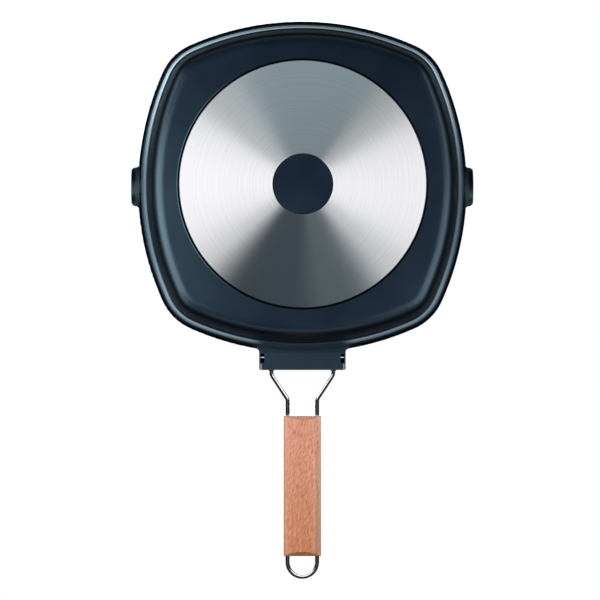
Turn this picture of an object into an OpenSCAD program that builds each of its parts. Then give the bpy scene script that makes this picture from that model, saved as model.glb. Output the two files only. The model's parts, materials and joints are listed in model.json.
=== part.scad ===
// Square cast grill pan with two pouring spouts and a folding wire handle.
// The pan stands upright: +Z up, base on z = 0, handle towards -Y, spouts towards -X and +X.
// The origin is the centre of the turned base ring, on the plane that it stands on.

/* [Pan] */
// Width across the middle of the two sides with spouts, at the outer edge of the rim
pan_w = 280; // [262:1:300]
// Length from the far side to the handle side, at the outer edge of the rim
pan_l = 281.8; // [262:0.2:300]
// Height from the base ring's face to the top of the rim
pan_h = 42; // [38:1:55]
// Radius of the long bulging sides at the rim
side_r = 235; // [215:5:280]
// Radius of the four corners at the rim
corner_r = 46; // [40:1:60]
// How far the flat base stays inside the rim's outer edge
base_inset = 24.5; // [21:0.1:27]
// Radius of the outer bend between base and wall
heel_r = 11; // [8:0.5:12]
// Lean of the wall, outwards from upright
wall_lean = 15; // [8:1:20]
// Thickness of the wall
wall_t = 3.6; // [3:0.1:4.5]
// Thickness of the floor
floor_t = 5; // [4.4:0.1:7]
// Radius of the inner bend between floor and wall
inner_bend_r = 8; // [5:0.5:10]

/* [Rim] */
// Radius of the bead that bulges out under the rim
bead_r = 11; // [9:0.5:12]
// Radius of the rim's outer top edge
lip_r = 2; // [1.5:0.1:2.6]
// Radius of the inside of the rim, where the wall flares outwards
flare_r = 14; // [12:0.5:18]
// Radius of the hollow between wall and bead
hollow_r = 1.6; // [1:0.1:2.5]

/* [Grill ribs] */
// Number of ribs across the floor
rib_count = 15; // [9:2:17]
// Distance from rib to rib
rib_pitch = 12.6; // [10:0.2:13]
// Radius of a rib's round back
rib_r = 2.8; // [2:0.1:3.4]
// Height of a rib above the floor
rib_h = 2.2; // [1.2:0.1:2.4]
// Flat gutter left between the ribs' ends and the bend of the wall
gutter_w = 4; // [2:0.5:10]

/* [Pouring spouts] */
// How far a spout stands out beyond the rim
spout_reach = 5.2; // [3:0.1:9]
// Width of a spout outside, at the top of the rim
spout_w = 33; // [26:1:44]
// Radius of a spout's outer corners, seen from above
spout_corner_r = 3.4; // [2:0.2:5]
// Depth of a spout's outside below the top of the rim
spout_drop = 8; // [7:0.5:9]
// Thickness of a spout's wall
spout_t = 3; // [2.4:0.1:3.6]
// Radius where a spout's sides meet the rim
spout_root_r = 2.5; // [1:0.5:4]

/* [Base ring] */
// Outer diameter of the bright turned ring
ring_d = 205.4; // [180:0.2:212]
// Diameter of the coated boss in the middle of the ring
boss_d = 50.6; // [30:0.2:80]
// Thickness of the ring
ring_t = 1; // [0.8:0.1:1.6]
// How far the ring stands below the coated base
ring_proud = 0.4; // [0.2:0.1:0.8]
// Width of the groove around the ring
ring_groove = 0.8; // [0.5:0.1:1.5]
// Gap between the ring and the boss in it
boss_gap = 0.4; // [0.2:0.1:1]
// How deep the boss lies inside the ring's face
boss_sink = 0.6; // [0.3:0.1:0.7]
// Bevel on the ring's inner edge
ring_bevel = 0.5; // [0.2:0.1:0.6]

/* [Handle bracket] */
// Width of the bracket
bracket_w = 73.4; // [71:0.2:90]
// How far the bracket reaches out beyond the rim
bracket_reach = 14.8; // [12:0.2:20]
// Depth of the bracket's underside below the top of the rim
bracket_drop = 8; // [7:0.5:9]
// Thickness of the bracket's plate
plate_t = 3.4; // [2.8:0.1:4]
// Thickness of each side lug
lug_t = 4.8; // [4.2:0.1:5.2]
// Radius of a lug's round top about the pivot
lug_r = 4.4; // [3.6:0.1:5.4]
// Height of a lug's front edge above the plate
lug_front_h = 3.6; // [2:0.2:5]
// Radius of the bracket's front corners
bracket_corner_r = 1.6; // [1:0.1:3]
// Radius of the edges round the bracket's underside
bracket_edge_r = 1; // [0.5:0.1:1.2]
// Radius where the bracket's sides meet the rim
bracket_root_r = 3; // [1:0.5:4]
// Length of the window under each pivot
window_l = 7.9; // [6:0.1:8.6]
// How far a window reaches in front of the pivot
window_front = 4.5; // [3.6:0.1:5]
// Skin left outside a window
window_skin = 1; // [0.8:0.1:1.4]
// Skin left between a window and the gap between the lugs
window_back = 0.5; // [0.4:0.1:0.8]
// Width of the seat under each leg of the wire
seat_w = 4.4; // [3:0.2:6]
// How far a seat's nose stands out of the bracket's front
seat_nose = 0.8; // [0.4:0.1:1.5]

/* [Wire] */
// Diameter of the wire
wire_d = 3.5; // [3:0.1:4]
// Distance of the pivot outside the rim
pivot_out = 4.4; // [4.2:0.1:6]
// Clearance between the wire and the rim that it folds over
fold_gap = 0.25; // [0.2:0.05:0.5]
// Distance between the two legs at the bracket
leg_gap = 52.8; // [50:0.2:55.6]
// Distance between the two wires in the grip
grip_gap = 25.2; // [20:0.2:25.6]
// Length of a straight leg from the pivot to the first bend
leg_l = 14.6; // [13.5:0.1:18]
// Length along the handle of the stretch where the legs draw in
neck_l = 21; // [18:0.5:30]
// Distance from the end of the neck to the grip
neck_to_grip = 13.8; // [8:0.2:24]
// Radius of the bends in the neck, on the wire's centre line
bend_r = 6; // [5:0.5:7]
// Radius of the bend between leg and pivot, on the wire's centre line
pivot_bend_r = 4; // [3:0.5:5]
// Straight wire between the grip and the round of the hanging loop
loop_straight = 5.8; // [3:0.2:12]
// Radial running clearance of a pivot in its lug
pivot_play = 0.06; // [0.02:0.01:0.1]

/* [Grip] */
// Length of the wooden grip
grip_l = 119.4; // [100:0.2:130]
// Width of the grip
grip_w = 31.6; // [30.4:0.2:36]
// Thickness of the grip over its crowned faces
grip_t = 17; // [14:0.5:20]
// How far the crowned faces fall away towards the sides
grip_crown = 3; // [1:0.1:4]
// Radius of the grip's long edges
grip_edge_r = 2.2; // [1:0.1:3]
// Length of the bevel on the grip's ends
grip_bevel = 4; // [2:0.2:6]
// Radial clearance of the wire in the grip
grip_play = 0.05; // [0.02:0.01:0.1]

/* [Hidden] */
$fn = 96;
cut = 1;           // how far a cutting shape runs past the face that it cuts
arc_step = 9;      // widest turn of one facet in a drawn arc, in degrees
hair = 0.01;       // a joined shape is this much thinner, so that it ends inside its neighbour
lap = 0.1;         // how far joined shapes run into each other
outline_step = 6;  // coarser step for the rim's outline where it stays inside the metal
rib_step = 18;     // coarser step for the small round ends of the ribs
rim_hold = 3;      // how far the spouts and the bracket reach into the rim
slab_edge = 2;     // how far inside the bends the wall's section meets the flat floor
pivot_short = 0.6; // how far the wire's ends stay inside the lugs' faces
seat_gap = 0.2;    // clearance of a leg over its seat
spout_step = 1;    // how far the spouts' edges lie below the top of the rim

coat_colour = [0.13, 0.16, 0.2];
ring_colour = [0.78, 0.79, 0.8];
wire_colour = [0.7, 0.71, 0.72];
wood_colour = [0.79, 0.55, 0.42];

// The rim is four side arcs joined by four corner arcs that they touch.
half_w = pan_w / 2;
half_l = pan_l / 2;
side_c = [half_w - side_r, half_l - side_r];  // centres of the +X arc on X and the +Y arc on Y
arc_gap = side_r - corner_r;                  // distance from these to a corner arc's centre
corner_c = side_c / 2 - [side_c[1], side_c[0]]
    * sqrt(pow(arc_gap / norm(side_c), 2) - 1 / 4);
x_turn = atan2(corner_c[1], corner_c[0] - side_c[0]);  // half the angle of the +X arc
y_turn = atan2(corner_c[0], corner_c[1] - side_c[1]);  // half the angle of the +Y arc
corner_turn = 90 - x_turn - y_turn;                    // the angle of a corner arc

// Section of the wall, drawn with x = 0 on the rim's outer edge and x < 0 inside it.
base_z = ring_proud;
floor_z = base_z + floor_t;
wall_dir = [sin(wall_lean), cos(wall_lean)];
wall_out = [cos(wall_lean), -sin(wall_lean)];
heel_c = [-base_inset, base_z + heel_r];
heel_end = heel_c + heel_r * wall_out;
bead_c = [-bead_r, pan_h - lip_r];
lip_c = [-lip_r, pan_h - lip_r];
// Hollow between wall and bead: a circle outside both, touching both
bead_off = (bead_c - heel_end) * wall_out;        // bead centre's distance from the wall
bead_along = (bead_c - heel_end) * wall_dir;
hollow_along = bead_along - sqrt(pow(bead_r + hollow_r, 2) - pow(hollow_r - bead_off, 2));
hollow_c = heel_end + hollow_along * wall_dir + hollow_r * wall_out;
hollow_dir = (bead_c - hollow_c) / (bead_r + hollow_r);
// Flare: a circle that touches the inner wall line and holds the lip's circle
inner_foot = heel_end - wall_t * wall_out;
lip_off = (lip_c - inner_foot) * wall_out;
lip_along = (lip_c - inner_foot) * wall_dir;
flare_along = lip_along - sqrt((lip_off - lip_r) * (2 * flare_r - lip_r - lip_off));
flare_c = inner_foot + flare_along * wall_dir + flare_r * wall_out;
flare_dir = (lip_c - flare_c) / (flare_r - lip_r);
// Inner bend: a circle that touches the floor and the inner wall line
bend_z = floor_z + inner_bend_r;
bend_foot_x = inner_foot[0] + (bend_z - inner_foot[1]) * tan(wall_lean);
inner_bend_c = [bend_foot_x - inner_bend_r / cos(wall_lean), bend_z];
wall_cut = min(-base_inset, inner_bend_c[0]) - slab_edge; // where wall and floor are joined

spout_top = pan_h - spout_step;
spout_bow = spout_drop - lip_r;                   // depth of the spout's round underside
spout_round_r = (pow(spout_w / 2, 2) + spout_bow * spout_bow) / (2 * spout_bow);
spout_c_z = pan_h - spout_drop + spout_round_r;
spout_channel_r = spout_round_r - spout_t;
spout_end = half_w + spout_reach;

ring_r = ring_d / 2;
boss_r = boss_d / 2;

pivot_y = -(half_l + pivot_out);
pivot_z = pan_h + fold_gap + wire_d / 2;
pivot_r = wire_d / 2 + pivot_play;
front_y = -(half_l + bracket_reach);
bracket_z = pan_h - bracket_drop;
plate_z = bracket_z + plate_t;
lug_out = bracket_w / 2;
lug_in = lug_out - lug_t;
window_in = lug_in + window_back;
window_out = lug_out - window_skin;
seat_z = pivot_z - wire_d / 2 - seat_gap;
leg_x = leg_gap / 2;
grip_wire_x = grip_gap / 2;
pivot_end = lug_out - pivot_short;

neck_y = pivot_y - leg_l;
throat_y = neck_y - neck_l;
grip_y = throat_y - neck_to_grip;     // near end of the grip
grip_end_y = grip_y - grip_l;
loop_y = grip_end_y - loop_straight;  // centre of the loop's half round

rib_z = floor_z + rib_h - rib_r;      // centre line of the round ribs
rib_edge = inner_bend_c[0] - gutter_w;

// Points of an arc about c with radius r, from angle a to angle b
function arc(c, r, a, b, step = arc_step) =
    let (n = max(2, ceil(abs(b - a) / step)))
    [for (i = [0:n]) c + r * [cos(a + (b - a) * i / n), sin(a + (b - a) * i / n)]];

function angle_of(v) = atan2(v[1], v[0]);

// Half the length of a straight rib at height y, inside the outline moved by rib_edge
function rib_half(y) =
    let (y_join = corner_c[1] + (corner_r + rib_edge) * sin(x_turn))
    abs(y) <= y_join
        ? side_c[0] + sqrt(pow(side_r + rib_edge, 2) - y * y)
        : corner_c[0] + sqrt(pow(corner_r + rib_edge, 2) - pow(abs(y) - corner_c[1], 2));

// Closed section of wall and rim, from the flat base round the rim to the flat floor, with
// every face moved into the metal by thin
module wall_section(thin) {
    polygon(concat(
        [[wall_cut + thin, base_z + thin]],
        arc(heel_c, heel_r - thin, -90, -wall_lean),
        arc(hollow_c, hollow_r + thin, 180 - wall_lean, angle_of(hollow_dir)),
        arc(bead_c, bead_r - thin, angle_of(-hollow_dir), 0),
        arc(lip_c, lip_r - thin, arc_step, angle_of(flare_dir)),
        arc(flare_c, flare_r - thin, angle_of(flare_dir) + arc_step / 2, 180 - wall_lean),
        arc(inner_bend_c, inner_bend_r + thin, -wall_lean, -90),
        [[wall_cut + thin, floor_z - thin]]
    ));
}

// The rim's outline moved outwards by d: half of the +X side, a corner and half of the +Y
// side, turned round from quarter to quarter by their mirror images
module outline(d) {
    quarter = concat(
        arc([side_c[0], 0], side_r + d, 0, x_turn, outline_step),
        arc(corner_c, corner_r + d, x_turn + outline_step,
            x_turn + corner_turn - outline_step, outline_step),
        arc([0, side_c[1]], side_r + d, 90 - y_turn, 90, outline_step)
    );
    back = [for (i = [len(quarter) - 2:-1:1]) [-quarter[i][0], quarter[i][1]]];
    upper = concat(quarter, back);
    polygon(concat(upper, [for (p = upper) [-p[0], -p[1]]]));
}

// One arc of the wall about the Z axis: the section carried round at radius r
module wall_arc(r, from, sweep, thin) {
    rotate([0, 0, from])
        rotate_extrude(angle = sweep, $fn = 360) translate([r, 0]) wall_section(thin);
}

// Four sides, joined by corners a hair thinner that run a little way into them
module wall() {
    lap_turn = asin(lap / corner_r);
    for (turn = [0, 180]) rotate(turn) {
        translate([side_c[0], 0]) wall_arc(side_r, -x_turn, 2 * x_turn, 0);
        translate([0, side_c[1]]) wall_arc(side_r, 90 - y_turn, 2 * y_turn, 0);
        translate(corner_c)
            wall_arc(corner_r, x_turn - lap_turn, corner_turn + 2 * lap_turn, hair);
        translate([-corner_c[0], corner_c[1]])
            wall_arc(corner_r, 90 + y_turn - lap_turn, corner_turn + 2 * lap_turn, hair);
    }
}

// A round-backed rib along X with round ends, reach long each way
module rib(reach) {
    rotate([0, 90, 0]) rotate_extrude($fn = 48)
        polygon(concat(arc([0, -reach], rib_r, -90, 0, rib_step),
                       arc([0, reach], rib_r, 0, 90, rib_step)));
}

// Ribs sunk in the floor to their height, as long as the floor is at their place
module grill_ribs() {
    for (i = [0:rib_count - 1]) {
        y = (i - (rib_count - 1) / 2) * rib_pitch;
        translate([0, y, rib_z]) rib(rib_half(y) - rib_r);
    }
}

// Draws its children twice, at +X and mirrored at -X
module both_sides() {
    for (side = [0, 1]) mirror([side, 0, 0]) children();
}

// Plan shape that fills the corner between a side at x = w / 2 and the rim that it meets,
// whose arc has its centre at y = arc_y. It is drawn a little into both of them, so that it
// ends inside the metal.
module root_fillet(w, r, arc_y) {
    fillet_x = w / 2 + r + hair;
    rim_r = side_r - 3 * hair + r;
    fillet_y = arc_y + sqrt(rim_r * rim_r - fillet_x * fillet_x);
    difference() {
        translate([w / 2 - cut, fillet_y - 2 * r - cut]) square([r + cut, 2 * r + cut]);
        translate([fillet_x, fillet_y]) circle(r = r);
    }
}

// What is cut off a corner at [x, y] to round it
module corner_off(x, y, r) {
    translate([x - r, y - r]) difference() {
        square(2 * r);
        circle(r = r, $fn = 48);
    }
}

// Plan of what stands out of a side as far as reach, and is rooted in the rim. It is drawn
// at +Y, for a side whose arc has its centre at y = arc_y, and then turned to that side.
module stand_out(w, reach, corner, root, arc_y, turn) {
    difference() {
        rotate(turn) {
            difference() {
                translate([-w / 2, 0]) square([w, reach]);
                both_sides() corner_off(w / 2, reach, corner);
            }
            both_sides() root_fillet(w, root, arc_y);
        }
        outline(-rim_hold);
    }
}

// Solid trough of a spout at +X; the channel is cut from the finished rim
module spout() {
    intersection() {
        translate([0, 0, bracket_z - cut]) linear_extrude(spout_top - bracket_z + cut)
            stand_out(spout_w, spout_end, spout_corner_r, spout_root_r, side_c[0], -90);
        translate([0, 0, spout_c_z]) rotate([0, 90, 0])
            cylinder(r = spout_round_r, h = spout_end + cut, $fn = 180);
    }
}

module spout_channel() {
    translate([half_w - 2 * bead_r, 0, spout_c_z]) rotate([0, 90, 0])
        cylinder(r = spout_channel_r, h = 2 * bead_r + spout_reach + cut, $fn = 180);
}

// Cross-section of the bracket seen from the front: plate and two lugs
module bracket_front_view() {
    difference() {
        translate([-lug_out, bracket_z]) square([2 * lug_out, pivot_z + lug_r - bracket_z + cut]);
        translate([-lug_in, plate_z]) square([2 * lug_in, pivot_z + lug_r]);
        both_sides() translate([0, 2 * bracket_z]) mirror([0, 1])
            corner_off(lug_out, bracket_z, bracket_edge_r);
    }
}

// Side view of the bracket, x forwards: lug with a round top about the pivot
module bracket_side_view() {
    reach = -front_y;
    rear = half_l - 2 * bead_r;
    front_top = [reach, plate_z + lug_front_h];
    pivot = [-pivot_y, pivot_z];
    rear_top = [half_l - lip_r, pan_h - lip_r / 2];
    difference() {
        union() {
            polygon([
                [rear, bracket_z], [reach, bracket_z], front_top,
                touch(front_top, pivot, lug_r, 1), pivot, touch(rear_top, pivot, lug_r, -1),
                rear_top, [rear, rear_top[1]]
            ]);
            translate(pivot) circle(r = lug_r + hair);
        }
        translate([0, 2 * bracket_z]) mirror([0, 1])
            corner_off(reach, bracket_z, bracket_edge_r);
    }
}

// Point where the line from p touches the circle about c: side 1 or -1 picks which one
function touch(p, c, r, side) =
    let (v = p - c, far = norm(v), lean = acos(r / far), a = angle_of(v) + side * lean)
    c + r * [cos(a), sin(a)];

module bracket_body() {
    intersection() {
        linear_extrude(pivot_z + lug_r + cut)
            stand_out(bracket_w, -front_y, bracket_corner_r, bracket_root_r, side_c[1], 180);
        union() {
            rotate([90, 0, 0]) linear_extrude(-front_y + cut) bracket_front_view();
            root_web();
        }
        rotate([90, 0, -90]) translate([0, 0, -bracket_w])
            linear_extrude(2 * bracket_w) bracket_side_view();
    }
}

// The webs of the root fillets stand beside the lugs, from the underside to the rim
module root_web() {
    both_sides()
        translate([lug_out - cut, -half_l - bracket_root_r, bracket_z])
            cube([bracket_root_r + 2 * cut, bracket_reach, bracket_drop - rim_hold]);
}

// Cast seats that the two legs of the wire rest over, with noses past the front
module seats() {
    seat_back = pivot_y - pivot_bend_r - wire_d / 2;
    both_sides()
        translate([leg_x - seat_w / 2, front_y - seat_nose, bracket_z + plate_t / 2])
            cube([seat_w, seat_back - front_y + seat_nose, seat_z - bracket_z - plate_t / 2]);
}

// Windows under the pivots, cut from below up to the middle of each bore
module bracket_windows() {
    both_sides()
        translate([window_in, pivot_y - window_front, bracket_z - cut])
            cube([window_out - window_in, window_l, pivot_z - bracket_z + cut]);
}

module pivot_bores() {
    translate([-bracket_w, pivot_y, pivot_z]) rotate([0, 90, 0])
        cylinder(r = pivot_r, h = 2 * bracket_w, $fn = 64);
}

// Round recess for the ring, with the coated boss left standing in the middle
module ring_recess() {
    difference() {
        translate([0, 0, -cut]) cylinder(r = ring_r + ring_groove, h = ring_t + cut, $fn = 360);
        translate([0, 0, boss_sink]) cylinder(r = boss_r - boss_gap, h = ring_t, $fn = 180);
    }
}

module pan_body() {
    color(coat_colour) difference() {
        union() {
            union() {
                translate([0, 0, base_z + 2 * hair]) linear_extrude(floor_t - 4 * hair)
                    outline(wall_cut + cut);
                grill_ribs();
            }
            wall();
            for (turn = [0, 180]) rotate(turn) spout();
            bracket_body();
            seats();
        }
        ring_recess();
        for (turn = [0, 180]) rotate(turn) spout_channel();
        bracket_windows();
        pivot_bores();
    }
}

module base_plate() {
    color(ring_colour) rotate_extrude($fn = 360)
        polygon([[boss_r + ring_bevel, 0], [ring_r, 0], [ring_r, ring_t],
                 [boss_r, ring_t], [boss_r, ring_bevel]]);
}

// Distance from a corner of the wire's route to where its bend begins
function bend_cut(turn, r) = r * tan(abs(turn) / 2);

// Half of the wire at +X: pivot, leg, neck and the run through the grip to the loop
module wire_half() {
    neck_turn = atan2(leg_x - grip_wire_x, neck_l);
    neck_cut = bend_cut(neck_turn, bend_r);
    neck_len = norm([leg_x - grip_wire_x, neck_l]) - 2 * neck_cut;
    bend_y = neck_y + neck_cut;
    throat_bend_y = throat_y - neck_cut;
    // pivot, with a free end
    translate([leg_x + pivot_bend_r - lap, pivot_y]) rotate([0, 90, 0])
        cylinder(d = wire_d, h = pivot_end - leg_x - pivot_bend_r + lap, $fn = 64);
    translate([leg_x + pivot_bend_r, pivot_y - pivot_bend_r]) bend(pivot_bend_r, 90, 90);
    // leg
    translate([leg_x, bend_y]) rotate([-90, 0, 0]) rod(leg_l - pivot_bend_r - neck_cut);
    translate([leg_x - bend_r, bend_y]) bend(bend_r, -neck_turn, neck_turn);
    // neck
    translate([leg_x, neck_y]) rotate(-neck_turn) translate([0, -neck_cut]) rotate([90, 0, 0])
        rod(neck_len);
    translate([grip_wire_x + bend_r, throat_bend_y]) bend(bend_r, 180 - neck_turn, neck_turn);
    // run through the grip
    translate([grip_wire_x, loop_y]) rotate([-90, 0, 0]) rod(throat_bend_y - loop_y);
}

// Straight wire along Z that laps into the bends at both of its ends
module rod(length) {
    translate([0, 0, -lap]) cylinder(d = wire_d, h = length + 2 * lap, $fn = 64);
}

// Bend of the wire about the local origin, from angle a through sweep
module bend(r, a, sweep) {
    rotate(a) rotate_extrude(angle = sweep)
        translate([r, 0]) circle(r = wire_d / 2 - hair, $fn = 64);
}

module handle_wire() {
    color(wire_colour) translate([0, 0, pivot_z]) {
        both_sides() wire_half();
        translate([0, loop_y]) bend(grip_wire_x, 180, 180);
    }
}

// Cross-section of the grip: crowned faces and rounded long edges
module grip_section() {
    half = grip_w / 2;
    rise = grip_t / 2;
    crown_r = (half * half + grip_crown * grip_crown) / (2 * grip_crown);
    edge = grip_edge_r;
    edge_z = rise - crown_r + sqrt(pow(crown_r - edge, 2) - pow(half - edge, 2));
    crown_end = asin((half - edge) / (crown_r - edge));
    top = concat(arc([half - edge, edge_z], edge, 0, 90 - crown_end),
                 arc([0, rise - crown_r], crown_r, 90 - crown_end + 1, 90));
    upper = concat(top, [for (i = [len(top) - 2:-1:0]) [-top[i][0], top[i][1]]]);
    lower = [for (p = upper) [-p[0], -p[1]]];
    polygon(concat(upper, lower));
}

// Side view of the grip with bevelled ends
module grip_side() {
    rise = grip_t / 2;
    end_rise = rise - grip_crown;
    polygon([
        [0, -end_rise], [grip_bevel, -rise], [grip_l - grip_bevel, -rise], [grip_l, -end_rise],
        [grip_l, end_rise], [grip_l - grip_bevel, rise], [grip_bevel, rise], [0, end_rise]
    ]);
}

module wood_grip() {
    color(wood_colour) translate([0, grip_y, pivot_z]) difference() {
        intersection() {
            rotate([90, 0, 0]) linear_extrude(grip_l) grip_section();
            rotate([90, 0, -90]) translate([0, 0, -grip_w]) linear_extrude(2 * grip_w) grip_side();
        }
        both_sides()
            translate([grip_wire_x, cut, 0]) rotate([90, 0, 0])
                cylinder(r = wire_d / 2 + grip_play, h = grip_l + 2 * cut, $fn = 48);
    }
}

pan_body();
base_plate();
handle_wire();
wood_grip();
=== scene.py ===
"""Looks of a square grill pan with pouring spouts and a folding wire handle.

The pan stands upright at the origin, on the floor, with its handle towards -Y. The photograph
shows it from straight below, so the camera looks up through a floor that is seen from above only.
"""

from __future__ import annotations

import json
import logging
import math
from abc import ABC, abstractmethod
from collections.abc import Sequence
from dataclasses import dataclass, field
from enum import Enum
from typing import Any

import bpy
import numpy as np
from mathutils import Matrix, Vector

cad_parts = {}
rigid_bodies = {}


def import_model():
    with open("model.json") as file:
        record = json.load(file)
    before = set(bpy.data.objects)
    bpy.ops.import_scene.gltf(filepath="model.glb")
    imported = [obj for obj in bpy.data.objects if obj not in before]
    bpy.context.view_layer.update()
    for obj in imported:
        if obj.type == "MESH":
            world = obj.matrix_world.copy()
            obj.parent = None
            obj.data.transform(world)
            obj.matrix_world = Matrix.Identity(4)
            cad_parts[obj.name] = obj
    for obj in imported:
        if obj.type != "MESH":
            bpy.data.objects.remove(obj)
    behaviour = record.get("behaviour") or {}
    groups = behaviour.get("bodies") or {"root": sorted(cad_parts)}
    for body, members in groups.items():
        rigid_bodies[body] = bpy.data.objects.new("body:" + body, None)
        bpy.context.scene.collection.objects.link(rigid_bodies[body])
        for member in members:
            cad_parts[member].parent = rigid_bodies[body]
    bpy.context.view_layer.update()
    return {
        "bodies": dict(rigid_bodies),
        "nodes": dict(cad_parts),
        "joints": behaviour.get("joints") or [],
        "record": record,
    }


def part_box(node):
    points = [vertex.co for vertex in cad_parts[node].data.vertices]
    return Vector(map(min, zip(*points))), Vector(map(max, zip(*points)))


LOG = logging.getLogger("grill_pan")

Colour = tuple[float, float, float]
Point = tuple[float, float, float]
Socket = bpy.types.NodeSocket
Value = Any  # a node's output socket, a number, a colour or a vector
Span = tuple[float, float]  # where a mask starts, and where it is full
Band = tuple[float, float, float, float]  # where it starts, is full, starts to end, and ends

WHITE: Colour = (1.0, 1.0, 1.0)
NOISE: Span = (0.3, 0.7)  # where most of a noise's values lie


class Piece(str, Enum):
    """The pieces of the pan, by the names that the frame gives them, and the floor."""

    CASTING = "pan_body"
    RING = "base_plate"
    WIRE = "handle_wire"
    GRIP = "wood_grip"
    FLOOR = "floor"


CASTING_ONLY = (Piece.CASTING,)
RING_ONLY = (Piece.RING,)
WIRE_ONLY = (Piece.WIRE,)
NOT_THE_WIRE = (Piece.CASTING, Piece.RING, Piece.GRIP)
RING_AND_GRIP = (Piece.RING, Piece.GRIP)
FLOOR_AND_GRIP = (Piece.FLOOR, Piece.GRIP)


class Sum(str, Enum):
    """Sums of the Math node that the finishes use."""

    ADD = "ADD"
    TAKE = "SUBTRACT"
    TIMES = "MULTIPLY"
    MOST = "MAXIMUM"
    SIZE = "ABSOLUTE"
    SINE = "SINE"


class Along(str, Enum):
    """Sums of the Vector Math node that the finishes use."""

    TIMES = "MULTIPLY"
    DOT = "DOT_PRODUCT"
    LENGTH = "LENGTH"
    UNIT = "NORMALIZE"


# --------------------------------------------------------------------------- node trees


class Graph:
    """A node tree, with short calls that add one node each and link its inputs."""

    def __init__(self, tree: bpy.types.NodeTree) -> None:
        """Empties the tree and keeps it.

        Args:
            tree: The node tree of a material, a world or a group.
        """
        self.tree = tree
        self.tree.nodes.clear()

    def put(self, socket: Socket, value: Value) -> None:
        """Links a socket to another node's output, or sets its own value.

        Args:
            socket: The input socket.
            value: An output socket, a number, or a colour or vector of three numbers.
        """
        if isinstance(value, bpy.types.NodeSocket):
            self.tree.links.new(value, socket)
        elif isinstance(value, tuple) and socket.type == "RGBA":
            socket.default_value = (*value, 1.0)
        else:
            socket.default_value = value

    def node(self, kind: str, inputs: dict[str | int, Value] | None = None,
             **settings: Any) -> bpy.types.Node:
        """Adds a node.

        Args:
            kind: The node's type.
            inputs: Input socket name or number to its value.
            **settings: The node's own properties.

        Returns:
            The new node.
        """
        made = self.tree.nodes.new(kind)
        for name, value in settings.items():
            setattr(made, name, value)
        for key, value in (inputs or {}).items():
            self.put(made.inputs[key], value)
        return made

    def place(self) -> Socket:
        """Returns the piece's own coordinates, in metres."""
        return self.node("ShaderNodeTexCoord").outputs["Object"]

    def normal(self) -> Socket:
        """Returns the direction that the surface faces."""
        return self.node("ShaderNodeNewGeometry").outputs["Normal"]

    def parts(self, vector: Socket) -> tuple[Socket, Socket, Socket]:
        """Returns a vector's X, Y and Z."""
        split = self.node("ShaderNodeSeparateXYZ", {0: vector}).outputs
        return split["X"], split["Y"], split["Z"]

    def sum(self, kind: Sum, first: Value, second: Value = 0.0) -> Socket:
        """Adds a Math node.

        Args:
            kind: Which sum.
            first: The first term.
            second: The second term, where the sum has one.

        Returns:
            The result.
        """
        return self.node("ShaderNodeMath", {0: first, 1: second},
                         operation=kind.value).outputs[0]

    def along(self, kind: Along, first: Value, second: Value = (0.0, 0.0, 0.0)) -> Socket:
        """Adds a Vector Math node.

        Args:
            kind: Which sum.
            first: The first vector.
            second: The second vector, where the sum has one.

        Returns:
            The result: a number for a length or a dot product, else a vector.
        """
        made = self.node("ShaderNodeVectorMath", {0: first, 1: second}, operation=kind.value)
        return made.outputs["Value" if kind in (Along.LENGTH, Along.DOT) else "Vector"]

    def noise(self, place: Value, scale: Value, detail: float = 2.0,
              roughness: float = 0.5, distortion: float = 0.0) -> Socket:
        """Adds a noise that is the same in every direction.

        Args:
            place: Where the noise is read.
            scale: Waves in a metre.
            detail: Number of finer layers.
            roughness: Strength of the finer layers.
            distortion: How far the noise bends itself.

        Returns:
            A value from 0 to 1.
        """
        return self.node("ShaderNodeTexNoise", {
            "Vector": place, "Scale": scale, "Detail": detail, "Roughness": roughness,
            "Distortion": distortion}).outputs["Fac"]

    def line_noise(self, place: Value, scale: float, detail: float = 2.0) -> Socket:
        """Adds a noise along a line.

        Args:
            place: Position along the line, in metres.
            scale: Waves in a metre.
            detail: Number of finer layers.

        Returns:
            A value from 0 to 1.
        """
        return self.node("ShaderNodeTexNoise", {"W": place, "Scale": scale, "Detail": detail},
                         noise_dimensions="1D").outputs["Fac"]

    def remap(self, value: Value, low: float, high: float, start: Value = 0.0,
              end: Value = 1.0, smooth: bool = False) -> Socket:
        """Maps a range of values onto another one, and holds it at both ends.

        Args:
            value: The value.
            low: The value that gives start.
            high: The value that gives end.
            start: The result at low.
            end: The result at high.
            smooth: Whether the ends are eased.

        Returns:
            The mapped value.
        """
        kind = "SMOOTHSTEP" if smooth else "LINEAR"
        return self.node("ShaderNodeMapRange", {0: value, 1: low, 2: high, 3: start, 4: end},
                         interpolation_type=kind, clamp=True).outputs[0]

    def band(self, value: Value, band: Band, share: float = 1.0,
             smooth: bool = False) -> Socket:
        """Returns a mask that is up inside a band of values, and 0 outside it.

        Args:
            value: The value.
            band: Where the mask starts, is up, starts to fall, and is 0 again.
            share: The mask's height.
            smooth: Whether its flanks are eased.

        Returns:
            The mask, from 0 to share.
        """
        start, full, until, end = band
        rise = self.remap(value, start, full, smooth=smooth)
        return self.sum(Sum.TIMES, rise, self.remap(value, until, end, share, 0.0, smooth))

    def mix(self, share: Value, first: Value, second: Value) -> Socket:
        """Mixes two colours.

        Args:
            share: How much of the second colour shows, from 0 to 1.
            first: The first colour.
            second: The second colour.

        Returns:
            The mixed colour.
        """
        made = self.node("ShaderNodeMix", data_type="RGBA", clamp_factor=True)
        for index, value in ((0, share), (6, first), (7, second)):
            self.put(made.inputs[index], value)
        return made.outputs[2]

    def blend(self, share: Value, first: Value, second: Value) -> Socket:
        """Mixes two numbers: first at a share of 0, second at a share of 1."""
        return self.node("ShaderNodeMix", {0: share, 2: first, 3: second}, data_type="FLOAT",
                         clamp_factor=True).outputs[0]

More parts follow.
